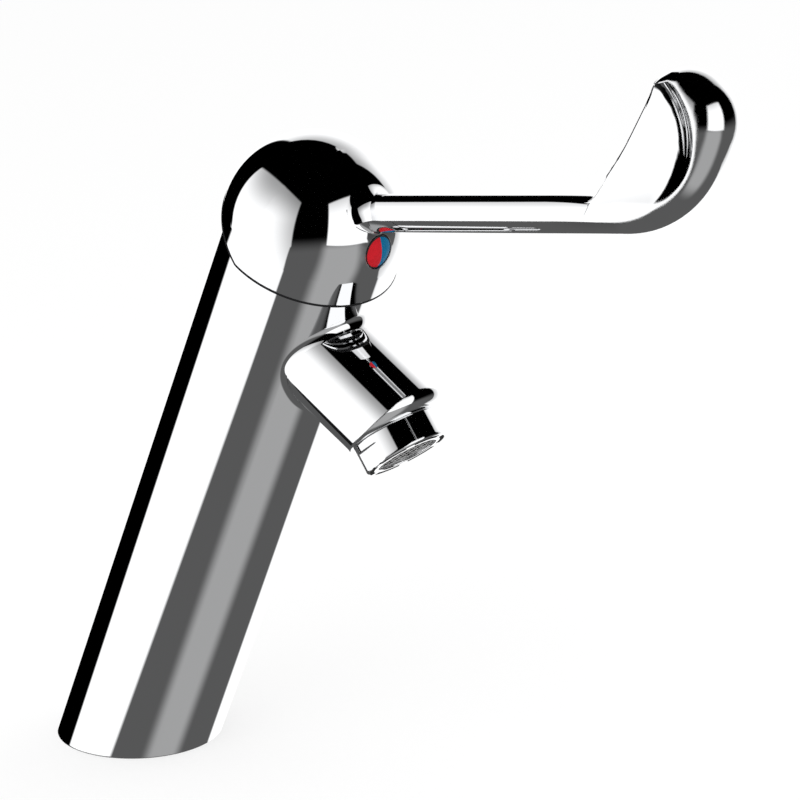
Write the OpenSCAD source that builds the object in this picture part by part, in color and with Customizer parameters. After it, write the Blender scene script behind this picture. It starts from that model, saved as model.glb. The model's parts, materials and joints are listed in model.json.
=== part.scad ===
// Elbow lever tap: a leaning single-lever basin mixer with a ball cap, a long lever with an upturned paddle and a short spout.
// Millimetres. The deck is the plane z = 0, +Z is up, and the spout and lever point to -Y.

/* [Body] */
// Lean of the body from upright, towards the front
lean = 30; // [0:1:40]
// Body tube outer radius
body_r = 24; // [23:0.5:28]
// Wall of the lower body tube
body_wall = 3.5; // [2:0.1:6]
// Distance along the body axis from the deck to the top face
joint_t = 196; // [170:0.5:260]
// Distance from the spout's line down to the underside of the valve block
block_down = 21; // [19:0.5:30]

/* [Ball cap] */
// Reach of the ball beyond the body tube
ball_over = 2.3; // [2:0.1:5]
// Ball wall
ball_wall = 1.7; // [1.5:0.1:4]
// Ball centre above the body's top face
ball_up = 8.5; // [7.5:0.1:10]
// Gap between the ball's lower rim and the body's top face
rim_gap = 0.5; // [0.3:0.1:2]
// Lift of the lever from closed to fully open, degrees
lift = 20; // [10:1:25]

/* [Lever] */
// Rise of the lever above the ball's equator, degrees
arm_rise = 38; // [20:1:50]
// Lever width
arm_w = 16.5; // [10:0.5:24]
// Height of the flat top above the lever's line
arm_top = 6.9; // [6.8:0.1:10]
// Height of the lower side edge above the lever's line
arm_edge = 1.9; // [0:0.1:2.2]
// Depth of the rounded underside below the lever's line
arm_crest = 2.6; // [1:0.1:6]
// Radius of the lever's upper edges
arm_round = 4; // [0.5:0.1:4.5]
// Distance from the ball centre to the start of the bend
bend_l = 124.5; // [80:0.5:160]
// Outer radius of the large bend
bend_r = 44.5; // [30:0.5:60]
// Turn of the large bend, degrees
bend_turn = 62; // [40:1:75]
// Outer radius of the small bend at the paddle's head
head_r = 13.4; // [10:0.1:18]
// Distance from the ball centre to the foot of the paddle's back edge
chord_l = 116.4; // [90:0.1:140]
// Angle of the paddle's back edge from the lever's line, degrees
chord_a = 47.5; // [30:0.5:70]
// Web thickness between the two dishes
web_t = 3.6; // [1.5:0.1:5]
// Radius of the hollow between the web and the dish's mouth
dish_round = 24; // [22:0.5:27]
// Radius of the hollow at the foot of the paddle's back edge
foot_round = 7; // [3:0.5:10]
// Dish radius at its mouth
dish_r = 20.2; // [18:0.1:22]
// Dish centre along the lever
dish_l = 139.5; // [120:0.1:150]
// Dish centre above the lever's line
dish_p = 26.8; // [15:0.1:35]
// Height of the top lip's underside above the lever's line
lip_p = 36.8; // [30:0.1:40]

/* [Index button and screw] */
// Button height above the ball centre
button_z = 8.6; // [6:0.1:12]
// Button radius
button_r = 4.7; // [3:0.1:6]
// Depth of the button's rim below the ball's surface, at its middle
button_sink = 0.6; // [0:0.1:1.5]
// Length of the button's plug
plug_l = 9; // [6:0.1:10]
// Dome height of the button
button_dome = 1.4; // [0.5:0.1:3]
// Set screw radius
screw_r = 2.5; // [1.5:0.1:3]
// Set screw length
screw_l = 10; // [6:0.5:12]

/* [Spout] */
// Distance from the body's top face down to the spout's line
spout_down = 25; // [24:0.5:34]
// Spout radius
spout_r = 15; // [12:0.5:18]
// Distance from the body axis to the outlet's bend
outlet_y = 44.65; // [36:0.05:80]
// Turn of the outlet below the spout's line, degrees
outlet_turn = 25; // [0:1:45]
// Distance from the bend to the spout's end face
outlet_s = 6.3; // [4:0.1:12]
// Edge rounding of the spout's end
outlet_round = 4; // [1:0.1:6]
// Radius of the waterway along the spout
channel_r = 3.6; // [3:0.1:4]
// Drop of the waterway below the spout's line
channel_drop = 4.2; // [3.6:0.1:4.5]

/* [Aerator] */
// Collar radius
aer_r = 12.4; // [10:0.1:14]
// Collar length
aer_l = 8.3; // [6:0.1:12]
// Threaded shank radius
aer_thread_r = 11; // [9:0.1:12]
// Threaded shank length
aer_thread_l = 7.8; // [5:0.1:9]
// Bore radius
aer_bore_r = 9.6; // [7:0.1:10]
// Distance across the two wrench flats
aer_flats = 23; // [20:0.1:27]
// Width of the rubber seal
aer_seal_w = 2.7; // [1.5:0.1:3.5]
// Thickness of the rubber seal
aer_seal_h = 1.8; // [1:0.1:3]
// Wall of the plastic core
core_wall = 1.5; // [1:0.1:2.5]
// Width of one opening in the outlet grid
grid_hole = 1.9; // [1:0.1:3]
// Thickness of the grid's bars
grid_bar = 0.6; // [0.4:0.1:1.2]
// Height of the outlet grid
grid_h = 3; // [1.5:0.1:5]

/* [Valve cartridge] */
// Wall of the body around the retaining nut
top_wall = 4; // [3:0.1:5]
// Width of the cartridge's shoulder
shoulder_w = 4; // [3:0.1:5]
// Wall of the cartridge's neck
neck_wall = 2.5; // [2:0.1:3.5]
// Depth of the cartridge seat below the ball centre
seat_z = 30; // [29:0.5:32]
// Height of the cartridge base
base_h = 5; // [4:0.1:8]
// Thickness of the fixed disc
fixed_h = 4; // [2:0.1:6]
// Thickness of the moving disc
moving_h = 3.2; // [2:0.1:5]
// Wall of the cartridge housing
cart_wall = 2; // [1.5:0.1:2.5]
// Wall of the retaining nut's threaded skirt
nut_wall = 2.2; // [1.5:0.1:3]
// Length of the retaining nut's threaded skirt
nut_skirt = 7; // [5:0.5:9]
// Section radius of the ring under the shroud
oring_r = 0.95; // [0.7:0.05:1.2]
// Depth of the cartridge shoulder below the ball centre
shoulder_z = 12; // [11:0.1:13]
// Pivot pin radius
pin_r = 2; // [1.5:0.1:3]
// Pivot pin length
pin_l = 18; // [12:0.5:20]
// Width of the lever stem between the rotor's cheeks
stem_w = 6; // [4:0.1:8]
// Half depth of the lever stem, front to back
stem_d = 4; // [3:0.1:5]
// Width of the carrier's block between the rotor's prongs
block_w = 8; // [7.2:0.1:9]
// Side of the square shank in the ball cap
shank = 8; // [6:0.1:10]
// Length of the square shank
shank_l = 14; // [10:0.5:16]
// Distance from the pivot down to the stem's ball end
stem_arm = 12; // [10:0.1:14]
// Radius of the stem's ball end
tip_r = 2.2; // [1.5:0.1:3]
// Radius of the inlet ports
port_r = 2.2; // [1.5:0.1:3]
// Radius of the outlet port
mix_r = 3.2; // [2:0.1:4]
// Sideways place of the inlet ports
port_x = 7; // [6:0.1:8]
// Front place of the inlet ports
port_y = 4; // [3:0.1:6]
// Rear place of the outlet port
mix_y = 5; // [4:0.1:7]

/* [Foot] */
// Thickness of the rubber seal on the deck
seal_h = 2; // [1:0.1:4]
// Height of the foot insert
foot_h = 12; // [8:0.5:20]
// Radius of the stud threads in the foot
stud_r = 2.5; // [2:0.1:3]
// Distance between the two studs
stud_pitch = 28; // [26:0.5:29]
// Radius of the hose passage
hose_r = 9; // [7:0.5:9.5]
// Reach of the hose passage in front of the deck centre
hose_front = 10; // [6:0.5:11]
// Reach of the hose passage behind the deck centre
hose_back = 2; // [0:0.5:4]
// Width of the rubber seal on the deck
seal_w = 2.2; // [1.5:0.1:2.4]
// Radius of the hose sockets in the valve block
socket_r = 4.5; // [4:0.1:5]
// Depth of the hose sockets
socket_l = 11; // [8:0.5:12]
// Sideways place of the hose sockets
socket_x = 6.5; // [6:0.1:7]
// Front place of the hose sockets
socket_y = 6; // [5:0.1:6.5]
// Space around a hose end on its way through the foot
hose_room = 0.5; // [0.3:0.1:0.8]

/* [Clearances] */
// Turning clearance of a shaft in its hole
run_c = 0.05; // [0.02:0.01:0.1]
// Space between faces that move past each other
move_c = 0.3; // [0.3:0.05:1]
// Space between pieces that are only put together
fit_c = 0.1; // [0.05:0.05:0.3]

/* [Hidden] */
$fn = 64;
chrome = [0.86, 0.87, 0.88];
brass = [0.78, 0.62, 0.3];
steel = [0.7, 0.71, 0.72];
white = [0.93, 0.93, 0.9];
grey = [0.55, 0.56, 0.58];
dark = [0.12, 0.12, 0.13];
ceramic = [0.95, 0.94, 0.9];
red = [0.72, 0.1, 0.14];
blue = [0, 0.36, 0.53];
ball_t = joint_t + ball_up;
ball_r = body_r + ball_over;
cart_r = body_r - top_wall - nut_wall - move_c;
neck_r = cart_r - shoulder_w;
rotor_r = neck_r - neck_wall - run_c;
ball_in = ball_r - ball_wall;
rim_z = ball_up - rim_gap;
rim_y = rim_z * tan(lift / 2);
top_z = -ball_up;
body_in = body_r - body_wall;
spout_t = joint_t - spout_down;
rotor_bore = rotor_r + run_c;
rotor_z = -shoulder_z + 2;
neck_top = pin_r + 0.6;
ring_h = 1.8;
block_t = spout_t - block_down;
foot_low_r = body_in - 2 * fit_c - seal_w;
stem_low = 8.5;
slot_front = stem_d * cos(lift) + stem_low * sin(lift) + 1.1;
slot_back = stem_d * cos(lift) + neck_top * sin(lift) + 1.3;
slide = stem_arm * lift * PI / 180;
moving_r = cart_r - cart_wall - move_c - fit_c - slide;
disc_z = -seat_z + base_h + fixed_h;
move_z = disc_z + move_c;
carry_z = move_z + moving_h;
plate_z = -shoulder_z - 2 - move_c;
nut_in = cart_r + move_c;
nut_r = nut_in + nut_wall;
nut_low = -shoulder_z - nut_skirt;
nut_collar = nut_r - 1;
shroud_r = ball_in - 0.5;
shroud_in = nut_collar + 0.3;
button_y = sqrt(pow(ball_r, 2) - pow(button_z, 2)) - button_sink;
hub_z = 11;
crown_d = arm_crest + arm_edge;
crown_r = (pow(arm_w / 2, 2) + pow(crown_d, 2)) / (2 * crown_d);
bend_c = bend_r - arm_crest;
foot_k = foot_round * tan(chord_a / 2);
dish_depth = arm_w / 2 - web_t / 2;
dish_floor = dish_r - sqrt(pow(dish_round, 2) - pow(dish_round - dish_depth, 2));
head_l = bend_l + (bend_r - head_r) * sin(bend_turn);
head_p = bend_c - (bend_r - head_r) * cos(bend_turn);
aer_end = outlet_s + aer_l;
chamber_s = outlet_s - aer_thread_l - aer_seal_h;
aer_seal_in = aer_thread_r - fit_c - aer_seal_w;
chamber_r = aer_thread_r + run_c;
end_high = outlet_s * tan(outlet_turn) + (spout_r + move_c / 2) / cos(outlet_turn);
end_flat = end_high - outlet_round * (tan(outlet_turn) + 1 / cos(outlet_turn));
end_deep = outlet_round * (1 + sin(outlet_turn));

// Frame with its origin on the body axis at a distance t from the deck
module along(t) {
    rotate([lean, 0, 0])
        translate([0, 0, t])
            children();
}

// Frame at the ball centre, +Z along the body axis
module core() {
    along(ball_t)
        children();
}

// Frame at the outlet's bend, +Z along the outlet
module outlet() {
    along(spout_t)
        translate([0, -outlet_y, 0])
            rotate([90 + outlet_turn, 0, 0])
                children();
}

// Frame in the lever's plane: X along the lever, Y across it upwards, Z sideways
module lever_plane() {
    rotate([-arm_rise, 0, 0])
        rotate([90, 0, -90])
            children();
}

// Ring between two radii
module ring(outer, inner, low, high) {
    translate([0, 0, low])
        difference() {
            cylinder(r = outer, h = high - low);
            translate([0, 0, -1])
                cylinder(r = inner, h = high - low + 2);
        }
}

// Cylinder between two heights
module rod(r, low, high) {
    translate([0, 0, low])
        cylinder(r = r, h = high - low);
}

// Box centred on X and Y between two heights
module bar(x, y, low, high) {
    translate([-x / 2, -y / 2, low])
        cube([x, y, high - low]);
}

// Leaning tube section between two level planes
module leaning(r, low, high) {
    intersection() {
        along(-60)
            cylinder(r = r, h = 200);
        translate([-100, -150, low])
            cube([200, 300, high - low]);
    }
}

// Half section of the spout's end: a rounded edge that runs into the spout's top line and opens out behind it
module end_section() {
    union() {
        square([end_flat, outlet_round]);
        translate([end_flat, outlet_round])
            circle(r = outlet_round);
        polygon([[0, outlet_round], [end_flat, outlet_round], [end_flat + outlet_round * cos(outlet_turn), end_deep],
            [end_flat + outlet_round * cos(outlet_turn) + 40 * tan(outlet_turn), end_deep + 40], [0, end_deep + 40]]);
    }
}

module spout_barrel() {
    intersection() {
        along(spout_t)
            rotate([90, 0, 0])
                cylinder(r = spout_r, h = 80);
        union() {
            outlet()
                translate([0, 0, outlet_s])
                    rotate([180, 0, 0])
                        rotate_extrude()
                            intersection() {
                                end_section();
                                square([100, 100]);
                            }
            along(spout_t)
                translate([-40, -body_r - 4, -40])
                    cube([80, 40, 80]);
        }
    }
}

module body() {
    color(chrome)
        difference() {
            union() {
                intersection() {
                    along(-60)
                        cylinder(r = body_r, h = joint_t + 60);
                    translate([-100, -250, 0])
                        cube([200, 400, 400]);
                }
                spout_barrel();
            }
            along(-60)
                cylinder(r = body_in, h = block_t + 60);
            core() {
                rod(cart_r + fit_c, -seat_z, 0);
                rod(nut_r, nut_low - move_c, 0);
            }
            along(0) {
                for (x = [-1, 1]) {
                    translate([x * port_x, -port_y, 0])
                        rod(port_r, block_t + socket_l - 2, ball_t - seat_z + 1);
                    translate([x * socket_x, -socket_y, 0])
                        rod(socket_r, block_t - 1, block_t + socket_l);
                }
                translate([0, mix_y, 0])
                    rod(mix_r, spout_t - channel_drop, ball_t - seat_z + 1);
                translate([0, mix_y + mix_r, spout_t - channel_drop])
                    rotate([90, 0, 0])
                        cylinder(r = channel_r, h = outlet_y - 5 + mix_y + mix_r);
            }
            outlet() {
                rod(aer_seal_in, chamber_s - 5, 0);
                rod(chamber_r, chamber_s, outlet_s + 20);
            }
        }
}

module foot_insert() {
    color(brass)
        difference() {
            union() {
                leaning(body_in - run_c, seal_h, seal_h + foot_h);
                leaning(foot_low_r, 0, seal_h + 1);
            }
            for (x = [-stud_pitch / 2, stud_pitch / 2])
                translate([x, 0, 0])
                    rod(stud_r, -1, 40);
            translate([0, -hose_front, 0])
                rod(hose_r, -1, 40);
            translate([0, hose_back, 0])
                rod(hose_r, -1, 40);
            translate([-hose_r, -hose_front, -1])
                cube([2 * hose_r, hose_front + hose_back, 41]);
            along(-60)
                for (x = [-socket_x, socket_x])
                    translate([x, -socket_y, 0])
                        cylinder(r = socket_r + hose_room, h = 120);
        }
}

module deck_seal() {
    color(dark)
        difference() {
            leaning(body_in - fit_c, 0, seal_h);
            along(-60)
                cylinder(r = foot_low_r + fit_c, h = 200);
        }
}

// The three ports at a working radius of their own
module ports(inlet, mixed, low, high) {
    for (x = [-port_x, port_x])
        translate([x, -port_y, 0])
            rod(inlet, low, high);
    translate([0, mix_y, 0])
        rod(mixed, low, high);
}

module port_rings(low, high) {
    for (x = [-port_x, port_x])
        translate([x, -port_y, 0])
            ring(port_r + 1.4, port_r, low, high);
    translate([0, mix_y, 0])
        ring(mix_r + 1.4, mix_r, low, high);
}

module cartridge_base() {
    color(white)
        core()
            difference() {
                union() {
                    rod(cart_r, -seat_z, -seat_z + base_h - 1.2);
                    rod(cart_r - cart_wall - fit_c, -seat_z, -seat_z + base_h);
                }
                ports(port_r, mix_r, -seat_z - 1, -seat_z + base_h + 1);
                ports(port_r + 1.4, mix_r + 1.4, -seat_z - 1, -seat_z + 1.5);
                ports(port_r + 1.4, mix_r + 1.4, -seat_z + base_h - 1.5, -seat_z + base_h + 1);
            }
}

module seat_seals() {
    color(dark)
        core()
            port_rings(-seat_z, -seat_z + 1.5);
}

module disc_seals() {
    color(dark)
        core()
            port_rings(-seat_z + base_h - 1.5, -seat_z + base_h);
}

module fixed_disc() {
    color(ceramic)
        core()
            difference() {
                rod(cart_r - cart_wall - fit_c, -seat_z + base_h, disc_z);
                ports(port_r, mix_r, -seat_z, disc_z + 1);
            }
}

module moving_disc() {
    color(ceramic)
        core()
            difference() {
                rod(moving_r, move_z, move_z + moving_h);
                intersection() {
                    rod(moving_r - 1, move_z - 1, move_z + 2);
                    translate([-20, -1.2, move_z - 2])
                        cube([40, 40, 10]);
                }
            }
}

module disc_carrier() {
    color(grey)
        core()
            difference() {
                union() {
                    rod(moving_r, carry_z, plate_z);
                    bar(block_w, 2 * tip_r + 3.2, carry_z, 1 - stem_arm);
                }
                bar(2 * tip_r + 0.8, 2 * tip_r + 0.8, -stem_arm - tip_r - 0.6, 0);
            }
}

module cartridge_housing() {
    color(white)
        core()
            difference() {
                union() {
                    rod(cart_r, -seat_z + base_h - 1.2, -shoulder_z);
                    rod(neck_r, -shoulder_z - 1, neck_top);
                }
                rod(cart_r - cart_wall, -seat_z, -shoulder_z - 2);
                rod(rotor_bore - 1.1, -seat_z, 10);
                rod(rotor_bore, rotor_z - move_c, 10);
            }
}

module rotor() {
    color(grey)
        core()
            difference() {
                union() {
                    rod(rotor_r, rotor_z, neck_top - move_c);
                    rod(rotor_r - 1.45, rotor_z - 4, rotor_z + 1);
                }
                bar(block_w + 2 * move_c, 40, rotor_z - 10, rotor_z);
                translate([-stem_w / 2 - move_c, -slot_front, rotor_z - 10])
                    cube([stem_w + 2 * move_c, slot_front + slot_back, 40]);
                translate([-pin_l / 2, 0, 0])
                    rotate([0, 90, 0])
                        cylinder(r = pin_r, h = pin_l);
            }
}

module pivot_pin() {
    color(steel)
        core()
            translate([-pin_l / 2, 0, 0])
                rotate([0, 90, 0])
                    cylinder(r = pin_r, h = pin_l);
}

module lever_stem() {
    color(steel)
        core()
            difference() {
                union() {
                    bar(stem_w, 2 * stem_d, -stem_low, 6);
                    bar(shank, shank, 5, 5 + shank_l);
                    rod(tip_r - 0.7, -stem_arm, -stem_low + 0.5);
                    translate([0, 0, -stem_arm])
                        sphere(r = tip_r);
                }
                translate([-20, 0, 0])
                    rotate([0, 90, 0])
                        cylinder(r = pin_r + run_c, h = 40);
            }
}

module limit_ring() {
    color(red)
        core()
            difference() {
                ring(neck_r, 8, neck_top, neck_top + ring_h);
                for (a = [0 : 30 : 330])
                    rotate([0, 0, a])
                        translate([neck_r, 0, neck_top - 1])
                            cylinder(r = 0.7, h = 5);
            }
}

module retaining_nut() {
    color(brass)
        core()
            difference() {
                union() {
                    rod(nut_r, nut_low, top_z - 0.1);
                    rod(nut_collar, top_z - 1, -3);
                    translate([0, 0, -3.5])
                        cylinder(r = nut_collar - 0.5, h = 4, $fn = 6);
                }
                rod(nut_in, nut_low - 1, -shoulder_z);
                rod(neck_r + 0.3, nut_low, 10);
                ring(nut_r + 5, shroud_in - 2 * oring_r, top_z + 1, top_z + 1.1 + 2 * oring_r);
            }
}

module shroud() {
    color(chrome)
        core()
            difference() {
                intersection() {
                    sphere(r = shroud_r);
                    rod(40, top_z, 2.2);
                }
                rod(shroud_in, -40, 0);
                rod(shroud_in + 1.5, -2.5, 40);
            }
}

module shroud_ring() {
    color(dark)
        core()
            translate([0, 0, top_z + 1.05 + oring_r])
                rotate_extrude()
                    translate([shroud_in - oring_r, 0])
                        circle(r = oring_r);
}

// Section of the lever: flat top, straight sides and a rounded underside, as height against width
module arm_section(high) {
    intersection() {
        union() {
            translate([-arm_w / 2, arm_edge])
                square([arm_w, high - arm_edge - arm_round]);
            translate([-arm_w / 2 + arm_round, arm_edge])
                square([arm_w - 2 * arm_round, high - arm_edge]);
            for (x = [-1, 1])
                translate([x * (arm_w / 2 - arm_round), high - arm_round])
                    circle(r = arm_round);
            translate([-arm_w / 2, -10])
                square([arm_w, 10.1 + arm_edge]);
        }
        union() {
            translate([0, crown_r - arm_crest])
                circle(r = crown_r);
            translate([-arm_w, arm_edge])
                square([2 * arm_w, 100]);
        }
    }
}

// Half section of a bend of the given outer radius, filled in to its centre
module bend_section(r) {
    intersection() {
        translate([0, -arm_w / 2])
            square([r, arm_w]);
        union() {
            translate([r - crown_r, 0])
                circle(r = crown_r);
            translate([0, -arm_w])
                square([r - crown_d, 2 * arm_w]);
        }
    }
}

module arm() {
    translate([ball_in - 4.5, 0, 0])
        rotate([0, 90, 0])
            linear_extrude(bend_l - ball_in + 4.5)
                arm_section(arm_top);
}

// Side view of the paddle in front of its back edge, with a hollow at the edge's foot
module back_edge() {
    union() {
        rotate(chord_a)
            translate([-60, -120])
                square([180, 120]);
        difference() {
            polygon([[0, 0], [-foot_k, 0], [foot_k * cos(chord_a), foot_k * sin(chord_a)]]);
            translate([-foot_k, foot_round])
                circle(r = foot_round);
        }
    }
}

module paddle_block() {
    intersection() {
        union() {
            translate([chord_l - 14, 0, 0])
                rotate([0, 90, 0])
                    linear_extrude(bend_l - chord_l + 14)
                        arm_section(48);
            translate([bend_l, bend_c, 0])
                rotate([0, 0, -90])
                    rotate_extrude(angle = bend_turn)
                        bend_section(bend_r);
            translate([head_l, head_p, 0])
                rotate_extrude()
                    bend_section(head_r);
        }
        translate([chord_l, arm_top, -20])
            linear_extrude(40)
                back_edge();
        union() {
            translate([0, head_p + head_r - arm_w / 2, 0])
                rotate([0, 90, 0])
                    cylinder(r = arm_w / 2, h = 200);
            translate([0, -40, -arm_w])
                cube([200, 40 + head_p + head_r - arm_w / 2, 2 * arm_w]);
        }
    }
}

// Half section of a dish: flat floor on the web and a hollow that rises to the mouth
module dish_section() {
    union() {
        square([dish_floor, dish_depth + 1]);
        intersection() {
            translate([dish_floor, dish_round])
                circle(r = dish_round);
            translate([0, -1])
                square([dish_r + 5, dish_depth + 6]);
        }
    }
}

module dish() {
    intersection() {
        union() {
            translate([dish_l, dish_p, web_t / 2])
                rotate_extrude()
                    dish_section();
            translate([dish_l, dish_p, web_t / 2])
                rotate([90, 0, -90])
                    linear_extrude(50)
                        union() {
                            dish_section();
                            mirror([1, 0])
                                dish_section();
                        }
        }
        translate([0, lip_p, 0])
            translate([dish_l, 0, 0])
                rotate([0, 0, 8])
                    translate([-100, -100, -1])
                        cube([200, 100, 40]);
    }
}

module lever_shape() {
    lever_plane() {
        difference() {
            union() {
                arm();
                paddle_block();
            }
            dish();
            mirror([0, 0, 1])
                dish();
        }
    }
}

// Half a ball on a straight skirt
module dome(r) {
    rotate_extrude()
        union() {
            intersection() {
                circle(r = r);
                square([r + 1, r + 1]);
            }
            translate([0, -20])
                square([r, 20]);
        }
}

// Bosses inside the ball for the stem, the set screw and the button, ending inside the ball's wall
module bosses() {
    intersection() {
        sphere(r = ball_r - ball_wall / 2);
        union() {
            rod(shank / sqrt(2) + 2.8, hub_z, 40);
            translate([0, -shank / 2 - 0.2, button_z])
                rotate([90, 0, 0])
                    cylinder(r = screw_r + 1.4, h = 30);
            translate([0, 1.5 + plug_l - button_y, button_z])
                rotate([90, 0, 0])
                    cylinder(r = button_r + 1, h = 30);
        }
    }
}

// Holes in the cap for the stem's shank, the set screw and the button
module cap_holes() {
    bar(shank + 0.1, shank + 0.1, 0, 5.2 + shank_l);
    translate([0, 0, button_z])
        rotate([90, 0, 0])
            cylinder(r = screw_r, h = 30);
    translate([0, plug_l - button_y, button_z])
        rotate([90, 0, 0])
            cylinder(r = button_r + fit_c, h = 20);
}

// Front half of the cap with the lever, above its level rim
module cap_front() {
    intersection() {
        difference() {
            union() {
                difference() {
                    union() {
                        rotate([0, 0, 90])
                            dome(ball_r);
                        lever_shape();
                    }
                    rotate([0, 0, 90])
                        dome(ball_in);
                }
                bosses();
            }
            cap_holes();
        }
        translate([-60, -200, -rim_z])
            cube([120, 200, 300]);
    }
}

// Rear half of the cap, above its rim, which rises by the lift behind the pivot
module cap_rear() {
    intersection() {
        difference() {
            union() {
                rotate([0, 0, -90])
                    difference() {
                        dome(ball_r);
                        dome(ball_in);
                    }
                bosses();
            }
            cap_holes();
        }
        translate([-60, 0, 0])
            rotate([90, 0, 90])
                linear_extrude(120)
                    polygon([[0, -rim_z], [rim_y, -rim_z], [rim_y + 80 * cos(lift), 80 * sin(lift) - rim_z], [0, 60]]);
    }
}

module handle() {
    color(chrome)
        core()
            union() {
                cap_front();
                cap_rear();
            }
}

module set_screw() {
    color(steel)
        core()
            translate([0, -shank / 2, button_z])
                rotate([90, 0, 0])
                    difference() {
                        cylinder(r = screw_r, h = screw_l);
                        translate([0, 0, screw_l - 2.5])
                            cylinder(r = 1.45, h = 5, $fn = 6);
                    }
}

module button_holder() {
    color(dark)
        core()
            translate([0, -button_y, button_z])
                rotate([90, 0, 0])
                    difference() {
                        rod(button_r, -plug_l, 0);
                        rod(button_r - 0.35, -1.2, 1);
                        rod(button_r - 1.2, -plug_l - 1, -3);
                    }
}

// Domed insert of the button, cut to one side of the lever's plane
module button_half(side) {
    rim = button_r - 0.35;
    dome_r = (rim * rim + button_dome * button_dome) / (2 * button_dome);
    core()
        translate([0, -button_y, button_z])
            rotate([90, 0, 0])
                intersection() {
                    rod(rim, -1.2, 10);
                    translate([0, 0, button_dome - dome_r])
                        sphere(r = dome_r);
                    translate([side < 0 ? -20 : 0, -20, -1.2])
                        cube([20, 40, 40]);
                }
}

module button_red() {
    color(red)
        button_half(-1);
}

module button_blue() {
    color(blue)
        button_half(1);
}

module aerator_collar() {
    color(chrome)
        outlet()
            difference() {
                union() {
                    rod(aer_thread_r, outlet_s - aer_thread_l, outlet_s + 1);
                    intersection() {
                        translate([0, 0, outlet_s])
                            rotate_extrude()
                                union() {
                                    square([aer_r, aer_l - 0.8]);
                                    square([aer_r - 0.8, aer_l]);
                                    translate([aer_r - 0.8, aer_l - 0.8])
                                        circle(r = 0.8);
                                }
                        union() {
                            bar(aer_flats, 60, outlet_s + 2.5, 60);
                            rod(30, outlet_s, outlet_s + 2.5);
                        }
                    }
                }
                rod(aer_bore_r, -20, aer_end - 1);
                rod(aer_bore_r - 0.6, -20, aer_end + 5);
            }
}

module aerator_seal() {
    color(dark)
        outlet()
            ring(aer_thread_r - fit_c, aer_seal_in, chamber_s, outlet_s - aer_thread_l);
}

module aerator_strainer() {
    color(grey)
        outlet()
            difference() {
                union() {
                    rod(aer_seal_in - fit_c, chamber_s + 0.9, outlet_s - aer_thread_l);
                    rod(aer_seal_in - 2.2, chamber_s - 1.5, chamber_s + 1);
                }
                for (a = [0 : 45 : 315])
                    rotate([0, 0, a])
                        translate([aer_seal_in - 4, 0, 0])
                            rod(0.9, -20, 20);
                rod(0.9, -20, 20);
            }
}

module aerator_core() {
    color(white)
        outlet()
            difference() {
                rod(aer_bore_r - fit_c, outlet_s - aer_thread_l, aer_end - 1 - grid_h);
                rod(aer_bore_r - fit_c - core_wall, 4, 60);
                for (a = [0 : 30 : 330])
                    rotate([0, 0, a])
                        translate([aer_bore_r - 3.6, 0, 0])
                            rod(0.8, -20, 20);
            }
}

module aerator_grid() {
    color(grey)
        outlet()
            difference() {
                rod(aer_bore_r - fit_c, aer_end - 1 - grid_h, aer_end - 1);
                intersection() {
                    rod(aer_bore_r - 1.2, -20, 60);
                    for (i = [-3 : 3])
                        for (j = [-3 : 3])
                            translate([i * (grid_hole + grid_bar), j * (grid_hole + grid_bar), 0])
                                bar(grid_hole, grid_hole, -20, 60);
                }
            }
}

body();
foot_insert();
deck_seal();
cartridge_base();
seat_seals();
disc_seals();
fixed_disc();
moving_disc();
disc_carrier();
cartridge_housing();
rotor();
pivot_pin();
lever_stem();
limit_ring();
retaining_nut();
shroud();
shroud_ring();
handle();
set_screw();
button_holder();
button_red();
button_blue();
aerator_collar();
aerator_seal();
aerator_strainer();
aerator_core();
aerator_grid();
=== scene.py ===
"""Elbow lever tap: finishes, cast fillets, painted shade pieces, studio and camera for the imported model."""
import json
import math

import bmesh
import bpy
from mathutils import Matrix, Vector


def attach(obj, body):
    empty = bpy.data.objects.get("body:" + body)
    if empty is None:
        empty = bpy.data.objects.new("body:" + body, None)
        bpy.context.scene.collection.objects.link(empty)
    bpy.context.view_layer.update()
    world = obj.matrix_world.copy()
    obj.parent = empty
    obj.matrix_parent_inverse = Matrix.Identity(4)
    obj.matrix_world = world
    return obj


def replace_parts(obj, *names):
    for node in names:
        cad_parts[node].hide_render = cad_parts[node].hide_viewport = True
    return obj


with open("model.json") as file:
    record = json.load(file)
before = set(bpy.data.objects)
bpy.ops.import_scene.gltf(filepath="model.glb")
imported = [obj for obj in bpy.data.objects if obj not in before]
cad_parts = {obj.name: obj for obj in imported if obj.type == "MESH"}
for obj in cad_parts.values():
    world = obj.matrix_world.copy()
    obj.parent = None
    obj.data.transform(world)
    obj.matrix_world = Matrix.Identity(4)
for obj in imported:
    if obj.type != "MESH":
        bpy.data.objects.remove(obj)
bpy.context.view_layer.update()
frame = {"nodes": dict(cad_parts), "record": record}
MM = 0.001

# Sizes repeated from the part's source, in millimetres, with angles in radians
LEAN = math.radians(30)
BODY_R = 24.0
BALL_T = 204.5
BALL_R = 26.3
RIM_Z = 8.0
LIFT = math.radians(20)
SPOUT_T = 171.0
SPOUT_R = 15.0
OUTLET_Y = 44.65
OUTLET_TURN = math.radians(25)
OUTLET_END = 14.6
GRID_FACE = 13.6
ARM_RISE = math.radians(38)
ARM_W = 16.5
ARM_TOP = 6.9
ARM_EDGE = 1.9
ARM_CREST = 2.6
ARM_ROUND = 4.0
CHORD_L = 116.4
CHORD_A = math.radians(47.5)
WEB_HALF = 1.8
DISH_ROUND = 24.0
BUTTON_Z = 8.6


def on_body(x, y, t):
    """A point given in the leaning body's own frame, in metres in the part's frame."""
    c, s = math.cos(LEAN), math.sin(LEAN)
    return Vector((x, y * c - t * s, y * s + t * c)) * MM


def in_body(v):
    """A point or direction of the part's frame in the leaning body's own frame, in the unit it came in."""
    c, s = math.cos(LEAN), math.sin(LEAN)
    return v.x, v.y * c + v.z * s, v.z * c - v.y * s


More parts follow.
